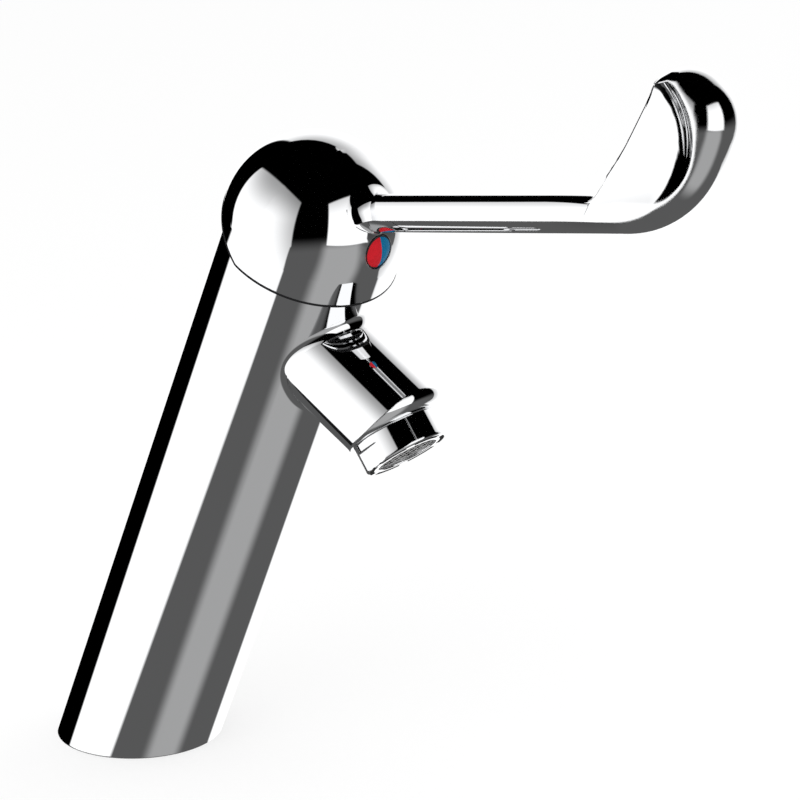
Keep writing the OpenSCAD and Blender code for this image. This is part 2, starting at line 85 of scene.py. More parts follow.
def on_lever(along, up, side):
    """A point given along, above and beside the lever's line, in metres in the part's frame."""
    c, s = math.cos(ARM_RISE), math.sin(ARM_RISE)
    return on_body(side, -along * c + up * s, BALL_T + along * s + up * c)


def on_outlet(x, y, along):
    """A point given across and along the outlet, in metres in the part's frame."""
    c, s = -math.sin(OUTLET_TURN), math.cos(OUTLET_TURN)
    return on_body(x, y * c - along * s - OUTLET_Y, SPOUT_T + y * s + along * c)


LEVER_ROOT = on_lever(0, 0, 0)
LEVER_AXES = Matrix([(on_lever(*unit) - LEVER_ROOT).normalized() for unit in ((1, 0, 0), (0, 1, 0), (0, 0, 1))])


def to_lever(point):
    """A point of the part's frame, in millimetres along, above and beside the lever's line."""
    return LEVER_AXES @ (point - LEVER_ROOT) / MM


def from_lever(spot):
    """The reverse of to_lever."""
    return LEVER_ROOT + LEVER_AXES.transposed() @ spot * MM


# Camera: its place in millimetres and its focal length in pixels, fitted to the photograph's outlines

CAMERA_PLACE = (-767.0, -971.4, 490.7)
CAMERA_BACK = (-0.6428, -0.7039, 0.3024)
CAMERA_RIGHT = (0.7193, -0.6903, -0.0779)
FOCAL_PIXELS = 4273.0
FRAME_PIXELS = 800.0
SENSOR_WIDTH = 36.0
CLIP_NEAR = 0.05
CLIP_FAR = 60.0


def place_camera():
    data = bpy.data.cameras.new("camera")
    camera = bpy.data.objects.new("camera", data)
    bpy.context.collection.objects.link(camera)
    back = Vector(CAMERA_BACK).normalized()
    right = Vector(CAMERA_RIGHT)
    right = (right - back * right.dot(back)).normalized()
    up = back.cross(right)
    turn = Matrix((right, up, back)).transposed().to_4x4()
    camera.matrix_world = Matrix.Translation(Vector(CAMERA_PLACE) * MM) @ turn
    data.sensor_width = SENSOR_WIDTH
    data.lens = FOCAL_PIXELS / FRAME_PIXELS * SENSOR_WIDTH
    data.clip_start = CLIP_NEAR
    data.clip_end = CLIP_FAR
    bpy.context.scene.camera = camera


# Node helpers

def add(tree, kind, **values):
    """A new node with some of its settings."""
    node = tree.nodes.new(kind)
    for name, value in values.items():
        setattr(node, name, value)
    return node


def put(tree, value, socket):
    """Links another node's output to a socket, or sets a plain value on it."""
    if isinstance(value, bpy.types.NodeSocket):
        tree.links.new(value, socket)
    else:
        socket.default_value = value


def calc(tree, operation, a, b=0.0):
    node = add(tree, "ShaderNodeMath", operation=operation)
    put(tree, a, node.inputs[0])
    put(tree, b, node.inputs[1])
    return node.outputs[0]


def ease(tree, value, low, high, start=0.0, end=1.0):
    """Goes smoothly from start to end while the value goes from low to high."""
    node = add(tree, "ShaderNodeMapRange", interpolation_type="SMOOTHSTEP")
    put(tree, value, node.inputs["Value"])
    for name, number in (("From Min", low), ("From Max", high), ("To Min", start), ("To Max", end)):
        put(tree, number, node.inputs[name])
    return node.outputs["Result"]


# A mix node's two inputs and its output, for plain values and for colours
MIX_SOCKETS = {"FLOAT": (2, 3, 0), "RGBA": (6, 7, 2)}


def choose(tree, share, off, on, kind="FLOAT"):
    """One value or colour where share is 0 and the other where it is 1."""
    first, second, result = MIX_SOCKETS[kind]
    node = add(tree, "ShaderNodeMix", data_type=kind)
    put(tree, share, node.inputs["Factor"])
    put(tree, off, node.inputs[first])
    put(tree, on, node.inputs[second])
    return node.outputs[result]


def choose_shader(tree, share, off, on):
    """One shader where share is 0 and the other where it is 1."""
    node = add(tree, "ShaderNodeMixShader")
    put(tree, share, node.inputs[0])
    put(tree, off, node.inputs[1])
    put(tree, on, node.inputs[2])
    return node.outputs[0]


# Studio: a dark room with three soft boxes around a grey table, as the chrome shows it.
# Each panel's corners are azimuth and elevation in degrees, clockwise from the top left.
# Each fade is a range of the ray's depth or height, then the levels at its two ends.

LEFT_BOX = ((-171, 39), (-60, 40), (-73, -13), (-160, -30))
LEFT_BOX_FOOT = ((-166, -5), (-73.5, -12), (-95, -42), (-150, -27))
LEFT_FADE = (-0.55, 0.25, 0.40, 1.0)
FRONT_BOX = ((-19, 35), (27, 33), (22, -18), (-30, -14))
RIGHT_BOX = ((78, 43), (150, 36), (149, -25), (73, -45))
RIGHT_FADE = (-0.35, 0.12, 0.45, 1.0)
BOX_EDGE = 0.02
TOP_FADE = (0.85, 0.28, 0.36, 1.2)
TABLE_FADE = (-0.03, -0.38, 0.0, 0.103)
TABLE_BACK = (0.88, 0.60)
TABLE_SHINE = ((-32, -13), (13, -15), (46, -75), (-68, -68))
SHINE_EDGE = 0.12
SHINE_LEVEL = 0.29
ROOM_LIGHT = 0.9
BACKDROP_WHITE = 1.0

FLOOR_EDGE = 6.0
FLOOR_DROP = 0.0002
PAPER_TONE = (0.95, 0.95, 0.95, 1)
PAPER_WHITE = 1.0
PAPER_SHARE = 0.72

LAMPS = (("key_lamp", (-0.9, -0.7, 1.1), 6.0), ("fill_lamp", (0.9, -0.6, 0.9), 3.0))
LAMP_AIM = (0, -0.09, 0.12)
LAMP_SIZE = 0.9


def towards(azimuth, elevation):
    """Unit vector from the tap, azimuth from the front towards the cold side, in degrees."""
    a, e = math.radians(azimuth), math.radians(elevation)
    return Vector((math.sin(a) * math.cos(e), -math.cos(a) * math.cos(e), math.sin(e)))


def soft_box(tree, ray, corners, soft):
    """Mask of the rays that leave through a four-sided panel with soft edges."""
    points = [towards(*c) for c in corners]
    centre = sum(points, Vector()).normalized()
    mask = 1.0
    for a, b in zip(points, points[1:] + points[:1]):
        inward = a.cross(b).normalized()
        if inward.dot(centre) < 0:
            inward.negate()
        dot = add(tree, "ShaderNodeVectorMath", operation="DOT_PRODUCT")
        put(tree, ray, dot.inputs[0])
        dot.inputs[1].default_value = inward
        mask = calc(tree, "MULTIPLY", ease(tree, dot.outputs["Value"], -soft, soft), mask)
    return mask


def box_light(tree, ray, depth, height):
    """Level of the three soft boxes, which dim towards the top and, at the sides, towards the front."""
    left = soft_box(tree, ray, LEFT_BOX, BOX_EDGE)
    left = calc(tree, "MAXIMUM", left, soft_box(tree, ray, LEFT_BOX_FOOT, BOX_EDGE))
    left = calc(tree, "MULTIPLY", left, ease(tree, depth, *LEFT_FADE))
    front = soft_box(tree, ray, FRONT_BOX, BOX_EDGE)
    right = soft_box(tree, ray, RIGHT_BOX, BOX_EDGE)
    right = calc(tree, "MULTIPLY", right, ease(tree, depth, *RIGHT_FADE))
    boxes = calc(tree, "MAXIMUM", calc(tree, "MAXIMUM", left, front), right)
    return calc(tree, "MULTIPLY", boxes, ease(tree, height, *TOP_FADE))


def table_light(tree, ray, depth, height):
    """Level of the grey table below, which ends at the back and shines in front."""
    table = ease(tree, height, *TABLE_FADE)
    table = calc(tree, "MULTIPLY", table, ease(tree, depth, *TABLE_BACK))
    shine = soft_box(tree, ray, TABLE_SHINE, SHINE_EDGE)
    return calc(tree, "ADD", table, calc(tree, "MULTIPLY", shine, SHINE_LEVEL))


def light_studio():
    """Mirrored rays see the boxes and the table, matt surfaces an even room, and the camera plain white."""
    world = bpy.data.worlds.new("studio")
    bpy.context.scene.world = world
    world.use_nodes = True
    tree = world.node_tree
    tree.nodes.clear()
    ray = add(tree, "ShaderNodeTexCoord").outputs["Generated"]
    parts = add(tree, "ShaderNodeSeparateXYZ")
    put(tree, ray, parts.inputs[0])
    depth, height = parts.outputs["Y"], parts.outputs["Z"]
    boxes = box_light(tree, ray, depth, height)
    mirrored = calc(tree, "MAXIMUM", boxes, table_light(tree, ray, depth, height))
    path = add(tree, "ShaderNodeLightPath")
    level = choose(tree, path.outputs["Is Glossy Ray"], ROOM_LIGHT, mirrored)
    shown = choose(tree, path.outputs["Is Camera Ray"], level, BACKDROP_WHITE)
    background = add(tree, "ShaderNodeBackground")
    put(tree, shown, background.inputs["Color"])
    output = add(tree, "ShaderNodeOutputWorld")
    put(tree, background.outputs[0], output.inputs["Surface"])


def lay_floor():
    """White paper that keeps the tap's shadow; the chrome sees the studio's table through it."""
    e = FLOOR_EDGE
    mesh = bpy.data.meshes.new("floor")
    mesh.from_pydata([(-e, -e, 0), (e, -e, 0), (e, e, 0), (-e, e, 0)], [], [(0, 1, 2, 3)])
    floor = bpy.data.objects.new("floor", mesh)
    bpy.context.collection.objects.link(floor)
    floor.location.z = -FLOOR_DROP
    paper = bpy.data.materials.new("white_paper")
    paper.use_nodes = True
    tree = paper.node_tree
    tree.nodes.clear()
    path = add(tree, "ShaderNodeLightPath")
    matt = add(tree, "ShaderNodeBsdfDiffuse")
    matt.inputs["Color"].default_value = PAPER_TONE
    white = add(tree, "ShaderNodeEmission")
    white.inputs["Strength"].default_value = PAPER_WHITE
    clear = add(tree, "ShaderNodeBsdfTransparent")
    share = calc(tree, "MULTIPLY", path.outputs["Is Camera Ray"], PAPER_SHARE)
    shown = choose_shader(tree, share, matt.outputs[0], white.outputs[0])
    mirrored = choose_shader(tree, path.outputs["Is Glossy Ray"], shown, clear.outputs[0])
    output = add(tree, "ShaderNodeOutputMaterial")
    put(tree, mirrored, output.inputs["Surface"])
    mesh.materials.append(paper)


def hang_lamp(name, place, watts):
    data = bpy.data.lights.new(name, "AREA")
    data.size = LAMP_SIZE
    data.energy = watts
    lamp = bpy.data.objects.new(name, data)
    bpy.context.collection.objects.link(lamp)
    lamp.location = place
    lamp.rotation_euler = (Vector(LAMP_AIM) - Vector(place)).to_track_quat("-Z", "Y").to_euler()
    lamp.visible_glossy = False


# Finishes: lengths in metres, scales of the noise per metre

LINE_STRETCH = (1.0, 0.08, 0.08)
LINE_DETAIL = 4.0
LINE_SHARE = 0.3
WEAR_SCALE = 26.0
WEAR_DETAIL = 3.0
WEAR_RANGE = (0.45, 0.75)
WEAR_SHARE = 0.7
GRAIN_DETAIL = 5.0
GRAIN_SHADES = (0.25, 0.75, 0.93, 1.05)
BEVEL_SAMPLES = 12
METAL_RELIEF = 0.00002
GRAIN_RELIEF = 0.00005

PLATE_EDGE = 0.0006
LEVER_EDGE = 0.0004
PADDLE_EDGE = 0.0016
PADDLE_STARTS = (0.112, 0.130)
RIM_STARTS = (-0.0035, -0.0070)

GRID_TONE = (0.36, 0.36, 0.36)
# Painted shade: the near black colour given to the grid below its face, where its openings are in shadow
GRID_PAINTED_SHADE = (0.003, 0.003, 0.003)
GRID_DEEP = (-0.00008, -0.00001)
GRID_GRAIN = (900.0, 0.25, 0.40)
GRID_BUMP = 0.15


def new_group(name, inputs, outputs):
    """An empty node group with named sockets, and its input and output nodes."""
    group = bpy.data.node_groups.new(name, "ShaderNodeTree")
    for way, sockets in (("INPUT", inputs), ("OUTPUT", outputs)):
        for label, kind in sockets.items():
            group.interface.new_socket(label, in_out=way, socket_type="NodeSocket" + kind)
    return group, add(group, "NodeGroupInput"), add(group, "NodeGroupOutput")


def between(tree, given, share):
    """Roughness between the group's Smooth and Dull inputs."""
    span = calc(tree, "SUBTRACT", given.outputs["Dull"], given.outputs["Smooth"])
    return calc(tree, "ADD", given.outputs["Smooth"], calc(tree, "MULTIPLY", share, span))


def polish_group():
    """Faint polishing lines and handling marks: a roughness and a height that change over the surface."""
    inputs = {"Line Scale": "Float", "Smooth": "Float", "Dull": "Float"}
    group, given, made = new_group("polish_marks", inputs, {"Roughness": "Float", "Height": "Float"})
    place = add(group, "ShaderNodeTexCoord").outputs["Object"]
    stretch = add(group, "ShaderNodeMapping")
    put(group, place, stretch.inputs["Vector"])
    stretch.inputs["Scale"].default_value = LINE_STRETCH
    lines = add(group, "ShaderNodeTexNoise")
    put(group, stretch.outputs[0], lines.inputs["Vector"])
    put(group, given.outputs["Line Scale"], lines.inputs["Scale"])
    lines.inputs["Detail"].default_value = LINE_DETAIL
    cloud = add(group, "ShaderNodeTexNoise")
    put(group, place, cloud.inputs["Vector"])
    cloud.inputs["Scale"].default_value = WEAR_SCALE
    cloud.inputs["Detail"].default_value = WEAR_DETAIL
    worn = calc(group, "MULTIPLY", ease(group, cloud.outputs["Fac"], *WEAR_RANGE), WEAR_SHARE)
    share = calc(group, "ADD", worn, calc(group, "MULTIPLY", lines.outputs["Fac"], LINE_SHARE))
    put(group, between(group, given, share), made.inputs["Roughness"])
    put(group, lines.outputs["Fac"], made.inputs["Height"])
    return group


def grain_group():
    """Moulded grain: a mottled shade, a roughness and a height for plastic, rubber and ceramic."""
    inputs = {"Grain Scale": "Float", "Smooth": "Float", "Dull": "Float", "Tone": "Color"}
    outputs = {"Colour": "Color", "Roughness": "Float", "Height": "Float"}
    group, given, made = new_group("moulded_grain", inputs, outputs)
    place = add(group, "ShaderNodeTexCoord").outputs["Object"]
    grain = add(group, "ShaderNodeTexNoise")
    put(group, place, grain.inputs["Vector"])
    put(group, given.outputs["Grain Scale"], grain.inputs["Scale"])
    grain.inputs["Detail"].default_value = GRAIN_DETAIL
    shade = add(group, "ShaderNodeHueSaturation")
    put(group, given.outputs["Tone"], shade.inputs["Color"])
    put(group, ease(group, grain.outputs["Fac"], *GRAIN_SHADES), shade.inputs["Value"])
    put(group, shade.outputs[0], made.inputs["Colour"])
    put(group, between(group, given, grain.outputs["Fac"]), made.inputs["Roughness"])
    put(group, grain.outputs["Fac"], made.inputs["Height"])
    return group


def soft_edges_group():
    """Normals turned over the last bit before each edge, as plating and polishing round it."""
    group, given, made = new_group("soft_edges", {"Radius": "Float"}, {"Normal": "Vector"})
    edge = add(group, "ShaderNodeBevel", samples=BEVEL_SAMPLES)
    put(group, given.outputs["Radius"], edge.inputs["Radius"])
    put(group, edge.outputs[0], made.inputs["Normal"])
    return group


def start_finish(name):
    finish = bpy.data.materials.new(name)
    finish.use_nodes = True
    tree = finish.node_tree
    tree.nodes.clear()
    shader = add(tree, "ShaderNodeBsdfPrincipled")
    output = add(tree, "ShaderNodeOutputMaterial")
    put(tree, shader.outputs[0], output.inputs["Surface"])
    return finish, tree, shader


def place_group(tree, group, labels, numbers):
    """A node group in a material, with its own values."""
    node = add(tree, "ShaderNodeGroup", node_tree=group)
    for label, number in zip(labels, numbers):
        node.inputs[label].default_value = number
    return node


def raise_marks(tree, shader, height, strength, distance):
    bump = add(tree, "ShaderNodeBump")
    bump.inputs["Strength"].default_value = strength
    bump.inputs["Distance"].default_value = distance
    put(tree, height, bump.inputs["Height"])
    put(tree, bump.outputs[0], shader.inputs["Normal"])


def distance_along(tree, start, direction):
    """Distance of the surface from a plane through start, in metres along direction."""
    place = add(tree, "ShaderNodeTexCoord").outputs["Object"]
    shift = add(tree, "ShaderNodeVectorMath", operation="SUBTRACT")
    put(tree, place, shift.inputs[0])
    shift.inputs[1].default_value = start
    dot = add(tree, "ShaderNodeVectorMath", operation="DOT_PRODUCT")
    put(tree, shift.outputs[0], dot.inputs[0])
    dot.inputs[1].default_value = direction
    return dot.outputs["Value"]


def metal_finish(name, tone, polish, edge=0.0, bump=0.0):
    """Metal with polishing marks; edge is its edges' radius, or a function that makes one."""
    finish, tree, shader = start_finish(name)
    shader.inputs["Base Color"].default_value = (*tone, 1)
    shader.inputs["Metallic"].default_value = 1.0
    marks = place_group(tree, POLISH, ("Line Scale", "Smooth", "Dull"), polish)
    put(tree, marks.outputs["Roughness"], shader.inputs["Roughness"])
    if edge:
        rounding = add(tree, "ShaderNodeGroup", node_tree=SOFT_EDGES)
        put(tree, edge(tree) if callable(edge) else edge, rounding.inputs["Radius"])
        put(tree, rounding.outputs["Normal"], shader.inputs["Normal"])
    if bump:
        raise_marks(tree, shader, marks.outputs["Height"], bump, METAL_RELIEF)
    return finish


def add_grain(tree, shader, grain, bump):
    """Moulded grain on a shader's colour, roughness and normal; gives the group's node for its tone."""
    node = place_group(tree, GRAIN, ("Grain Scale", "Smooth", "Dull"), grain)
    put(tree, node.outputs["Colour"], shader.inputs["Base Color"])
    put(tree, node.outputs["Roughness"], shader.inputs["Roughness"])
    raise_marks(tree, shader, node.outputs["Height"], bump, GRAIN_RELIEF)
    return node


def moulded_finish(name, tone, grain, bump, gloss=0.5):
    finish, tree, shader = start_finish(name)
    add_grain(tree, shader, grain, bump).inputs["Tone"].default_value = (*tone, 1)
    shader.inputs["Specular IOR Level"].default_value = gloss
    return finish


def grid_finish(name):
    """Moulded outlet grid, pale on its face, with painted shade darkening it in its openings."""
    finish, tree, shader = start_finish(name)
    outward = (on_outlet(0, 0, 1) - on_outlet(0, 0, 0)).normalized()
    deep = distance_along(tree, on_outlet(0, 0, GRID_FACE), outward)
    # Painted shade: the colour turns near black deeper than the grid's face
    tone = choose(tree, ease(tree, deep, *GRID_DEEP), (*GRID_PAINTED_SHADE, 1), (*GRID_TONE, 1), "RGBA")
    put(tree, tone, add_grain(tree, shader, GRID_GRAIN, GRID_BUMP).inputs["Tone"])
    return finish


def lever_edges(tree):
    """Edge rounding of the handle: wider on the paddle's rims than on its back edge, the bar and the cap."""
    along = distance_along(tree, LEVER_ROOT, (on_lever(1, 0, 0) - LEVER_ROOT).normalized())
    foot = on_lever(CHORD_L, ARM_TOP, 0)
    outward = on_lever(CHORD_L - math.sin(CHORD_A), ARM_TOP + math.cos(CHORD_A), 0) - foot
    inner = ease(tree, distance_along(tree, foot, outward.normalized()), *RIM_STARTS)
    wide = calc(tree, "MULTIPLY", ease(tree, along, *PADDLE_STARTS, 0.0, PADDLE_EDGE), inner)
    return calc(tree, "ADD", wide, LEVER_EDGE)


POLISH = polish_group()
GRAIN = grain_group()
SOFT_EDGES = soft_edges_group()

# Each polish or grain is its scale, then its roughness where smooth and where dull
CHROME_TONE = (0.90, 0.905, 0.915)
CHROME_POLISH = (900.0, 0.012, 0.03)
INSERT_GRAIN = (700.0, 0.42, 0.55)
LEVER_CHROME = metal_finish("chrome_lever", CHROME_TONE, CHROME_POLISH, edge=lever_edges)
CAST_CHROME = metal_finish("chrome_casting", CHROME_TONE, CHROME_POLISH)
FINISHES = {
    "chrome_plate": metal_finish("chrome_plate", CHROME_TONE, CHROME_POLISH, edge=PLATE_EDGE),
    "brass": metal_finish("machined_brass", (0.72, 0.52, 0.22), (2200.0, 0.18, 0.34), bump=0.3),
    "steel": metal_finish("stainless_steel", (0.62, 0.62, 0.61), (2600.0, 0.16, 0.32), bump=0.3),
    "white_plastic": moulded_finish("white_acetal", (0.80, 0.80, 0.77), (900.0, 0.38, 0.52), bump=0.15),
    "grey_plastic": moulded_finish("grey_acetal", (0.26, 0.27, 0.29), (900.0, 0.35, 0.50), bump=0.15),
    "rubber": moulded_finish("black_rubber", (0.010, 0.010, 0.011), (1400.0, 0.60, 0.80), bump=0.30, gloss=0.15),
    "black_plastic": moulded_finish("black_plastic", (0.013, 0.013, 0.014), (1100.0, 0.30, 0.45), bump=0.15),
    "ceramic": moulded_finish("ground_ceramic", (0.84, 0.83, 0.79), (1800.0, 0.14, 0.26), bump=0.05),
    "red_plastic": moulded_finish("red_insert", (0.50, 0.010, 0.018), INSERT_GRAIN, bump=0.05, gloss=0.08),
    "blue_plastic": moulded_finish("blue_insert", (0.0, 0.125, 0.26), INSERT_GRAIN, bump=0.05, gloss=0.08),
}
NODE_FINISHES = {"handle": LEVER_CHROME, "aerator_grid": grid_finish("outlet_grid")}
NODE_SLOTS = {row["node"]: row["material_slot"] for row in frame["record"]["subparts"]}


def dress_nodes():
    for name, thing in frame["nodes"].items():
        finish = NODE_FINISHES.get(name, FINISHES[NODE_SLOTS[name]])
        if not thing.material_slots:
            raise SystemExit("no material slot on " + name)
        for slot in thing.material_slots:
            slot.material = finish


# Mesh helpers

def show(name, data, body):
    """A piece of the scene that moves with a body."""
    piece = bpy.data.objects.new(name, data)
    bpy.context.collection.objects.link(piece)
    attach(piece, body)
    return piece


def close_mesh(name, mesh, finish):
    """Mesh data of a closed form, facing outwards."""
    bmesh.ops.recalc_face_normals(mesh, faces=mesh.faces)
    data = bpy.data.meshes.new(name)
    mesh.to_mesh(data)
    mesh.free()
    data.materials.append(finish)
    return data


def skin(mesh, row, following, rounded):
    """Faces between two neighbouring loops of corners."""
    for i in range(len(row)):
        j = (i + 1) % len(row)
        mesh.faces.new((row[i], row[j], following[j], following[i])).smooth = rounded


def soft_step(value, low, high):
    """Rises smoothly from 0 to 1."""
    share = min(max((value - low) / (high - low), 0.0), 1.0)
    return share * share * (3 - 2 * share)


def widen(value, low, high, soft):
    """Rises from 0 to 1 in a straight line after a soft start."""
    share = min(max((value - low) / (high - low), 0.0), 1.0)
    lift = share * share / (2 * soft) if share < soft else share - soft / 2
    return lift / (1 - soft / 2)


# Lever casting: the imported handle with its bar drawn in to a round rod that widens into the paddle.
# Lengths are in millimetres, along and above the lever's line or along the paddle's back edge.

ROD_SHARE = 0.61
ROD_WIDENS = (98, 148)
ROD_SOFT_START = 0.3
CROWN_RISE = 1.3
CROWN_HALF = 7.0
CROWN_ENDS = (116, 136)
CROWN_FROM = (2, ARM_TOP)
CROWN_FADES = (9, 23)

WEB_BULGE = 1.3
BULGE_STARTS = (3.1, 8)
BULGE_ENDS = (38, 43.5)
WEB_THIN_FROM = 20.5
WEB_THIN_TO = 32
WEB_TIP_SLOPE = 0.97
BACK_EDGE_FROM = 3
BACK_EDGE_FLAT = 0.02

SLICES_ALONG = range(30, 150, 4)
SLICES_ASIDE = [0.75 * k for k in range(-10, 11)]
SLICE_REACH = 1e-7
ABOVE_EQUATOR = 1
OUTSIDE_BALL = 0.2
ON_BALL = 0.05
FACING_OUT = 0.995


def draw_in(spot):
    """Moves a point of the bar, given along, above and beside the lever's line in millimetres."""
    along, up, side = spot
    slim = ROD_SHARE + (1 - ROD_SHARE) * widen(along, *ROD_WIDENS, ROD_SOFT_START)
    crown = CROWN_RISE * (1 - soft_step(along, *CROWN_ENDS))
    crown *= soft_step(up, *CROWN_FROM) * (1 - soft_step(up, *CROWN_FADES))
    crown *= max(0.0, 1 - (side / CROWN_HALF) ** 2) ** 2
    return Vector((along, up + crown, side * slim))


def draw_in_normal(spot, normal):
    """Normal of the drawn-in bar where it was given before the move."""
    step = 0.01
    columns = []
    for i in range(3):
        shift = Vector((0, 0, 0))
        shift[i] = step
        columns.append((draw_in(spot + shift) - draw_in(spot - shift)) / (2 * step))
    turn = Matrix(columns).transposed()
    return (turn.inverted().transposed() @ normal).normalized()


def onto_ball(spot):
    """The point on the cap's ball at the same height and side."""
    return Vector((math.sqrt(BALL_R ** 2 - spot.y ** 2 - spot.z ** 2), spot.y, spot.z))


def along_back_edge(spot):
    """How far a point lies along the paddle's back edge, and how far outside it."""
    a, u = spot.x - CHORD_L, spot.y - ARM_TOP
    c, s = math.cos(CHORD_A), math.sin(CHORD_A)
    return a * c + u * s, u * c - a * s


def round_back_edge(spot):
    """The point and its normal once the flat back edge of the web is rounded."""
    along = along_back_edge(spot)[0]
    rise = max((WEB_THIN_FROM - along) * math.sin(CHORD_A), (along - WEB_THIN_TO) * WEB_TIP_SLOPE, 0)
    half = WEB_HALF + DISH_ROUND - math.sqrt(DISH_ROUND ** 2 - rise ** 2)
    share = min(max(spot.z / half, -1), 1)
    full = WEB_BULGE * soft_step(along, *BULGE_STARTS) * (1 - soft_step(along, *BULGE_ENDS))
    deep = math.sqrt(1 - share ** 2)
    flat = 1 - full / WEB_BULGE
    outward = Vector((-math.sin(CHORD_A), math.cos(CHORD_A), 0))
    normal = outward * (deep + (1 - deep) * flat) * half + Vector((0, 0, share)) * full
    return spot + outward * full * deep, normal.normalized()


def bar_faces(mesh):
    """Faces of the bar and the paddle: above the ball's equator, with a corner outside the ball."""
    chosen = []
    for face in mesh.faces:
        spots = [to_lever(v.co) for v in face.verts]
        above = all(q.x * math.sin(ARM_RISE) + q.y * math.cos(ARM_RISE) > ABOVE_EQUATOR for q in spots)
        if above and any(q.length > BALL_R + OUTSIDE_BALL for q in spots):
            chosen.append(face)
    return chosen


def slice_bar(mesh):
    """Cuts the bar and the paddle into short lengths and narrow strips, so that they can take a new form."""
    cuts = [(Vector((along, 0, 0)), Vector((1, 0, 0))) for along in SLICES_ALONG]
    cuts += [(Vector((0, 0, side)), Vector((0, 0, 1))) for side in SLICES_ASIDE]
    for place, direction in cuts:
        faces = bar_faces(mesh)
        edges = {e for f in faces for e in f.edges}
        corners = {v for f in faces for v in f.verts}
        bmesh.ops.bisect_plane(
            mesh, geom=list(corners) + list(edges) + faces, dist=SLICE_REACH,
            plane_co=from_lever(place), plane_no=LEVER_AXES.transposed() @ direction)


def round_web(mesh, layer):
    """Rounds the web's back edge, and keeps its normals in the layer."""
    rounded = {}
    for face in bar_faces(mesh):
        places = [along_back_edge(to_lever(v.co)) for v in face.verts]
        if all(along > BACK_EDGE_FROM and abs(outside) < BACK_EDGE_FLAT for along, outside in places):
            for corner in face.loops:
                spot, normal = round_back_edge(to_lever(corner.vert.co))
                rounded[corner.vert] = spot
                corner[layer] = LEVER_AXES.transposed() @ normal
    for corner, spot in rounded.items():
        corner.co = from_lever(spot)


def draw_in_bar(mesh, layer):
    """Draws the bar in, with its normals in the layer; its rim on the cap stays on the ball."""
    bar = {v for f in bar_faces(mesh) for v in f.verts}
    for face in mesh.faces:
        face.smooth = True
        for corner in face.loops:
            if corner.vert in bar:
                spot, normal = to_lever(corner.vert.co), LEVER_AXES @ Vector(corner[layer])
                outward = normal.normalized().dot(spot.normalized()) > FACING_OUT
                if spot.length < BALL_R + ON_BALL and outward:
                    normal = onto_ball(draw_in(spot)).normalized()
                else:
                    normal = draw_in_normal(spot, normal)
                corner[layer] = LEVER_AXES.transposed() @ normal
    for corner in bar:
        spot = to_lever(corner.co)
        moved = draw_in(spot)
        if spot.length < BALL_R + ON_BALL:
            moved = onto_ball(moved)
        corner.co = from_lever(moved)


def lever_casting():
    """Stands for the handle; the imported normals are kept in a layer, so that the cap's ball stays smooth."""
    solid = frame["nodes"]["handle"].data
    kept = iter([n.vector.copy() for n in solid.corner_normals])
    mesh = bmesh.new()
    mesh.from_mesh(solid)
    layer = mesh.loops.layers.float_vector.new("cad_normal")
    for face in mesh.faces:
        for corner in face.loops:
            corner[layer] = next(kept)
    slice_bar(mesh)
    round_web(mesh, layer)
    draw_in_bar(mesh, layer)
    normals = [Vector(corner[layer]).normalized() for face in mesh.faces for corner in face.loops]
    mesh.loops.layers.float_vector.remove(layer)
    data = bpy.data.meshes.new("lever_casting")
    mesh.to_mesh(data)
    mesh.free()
    data.normals_split_custom_set(normals)
    data.materials.append(LEVER_CHROME)
    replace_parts(show("lever_casting", data, "lever"), "handle")


# Index button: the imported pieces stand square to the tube, these lean with the cap's surface.
# Lengths are in millimetres.

BUTTON_OUT = 0.15
BUTTON_ROOT = 6.0
BUTTON_LEAN = 0.85


def flush_button():
    """Shears the front of the three pieces, so that the button is flush with the cap all round."""
    reach = math.sqrt(BALL_R ** 2 - BUTTON_Z ** 2)
    slope = BUTTON_LEAN * BUTTON_Z / reach
    for name in ("button_holder", "button_red", "button_blue"):
        data = frame["nodes"][name].data.copy()
        data.name = name + "_flush"
        normals = [n.vector.copy() for n in data.corner_normals]
        for corner in data.vertices:
            x, y, t = in_body(corner.co / MM)
            front = soft_step(-y, reach - BUTTON_ROOT, reach - BUTTON_ROOT / 2)
            corner.co = on_body(x, y + front * (slope * (t - BALL_T - BUTTON_Z) - BUTTON_OUT), t)
        turned = []
        for normal in normals:
            x, y, t = in_body(normal)
            turned.append(on_body(x, y, t - slope * y).normalized())
        data.normals_split_custom_set(turned)
        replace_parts(show(name + "_flush", data, "lever"), name)


# Cast fillets: radii and depths in millimetres

SPOUT_FILLET = 3.0
SPOUT_STEPS = 144
LEVER_FILLET_UNDER = 1.0
LEVER_FILLET_OVER = 6.0
LEVER_FILLET_GROWS = (-0.75, 0.1)
FILLET_STEPS = 14
FILLET_BURIED = 0.5
OUTLINE_STEPS = 16
OUTLINE_FAN = 6
ON_MIDDLE = 1e-6


def fillet_ring(name, lines, body):
    """A closed ring of chrome: each line of points and normals crosses the fillet, then dips inside."""
    mesh = bmesh.new()
    rows = [[mesh.verts.new(point) for point, normal in line] for line in lines]
    for row, following in zip(rows, rows[1:] + rows[:1]):
        skin(mesh, row, following, True)
    data = close_mesh(name, mesh, CAST_CHROME)
    data.normals_split_custom_set_from_vertices([normal for line in lines for point, normal in line])
    show(name, data, body)


def hollow(centre, first, last, inside):
    """Points and normals of a fillet's arc between its contacts, then one point inside the castings."""
    a, b = first - centre, last - centre
    angle = a.angle(b)
    line = []
    for i in range(FILLET_STEPS + 1):
        s = i / FILLET_STEPS
        out = (a * math.sin((1 - s) * angle) + b * math.sin(s * angle)) / math.sin(angle)
        line.append((centre + out, -out.normalized()))
    return line + [(inside, (inside - centre).normalized())]


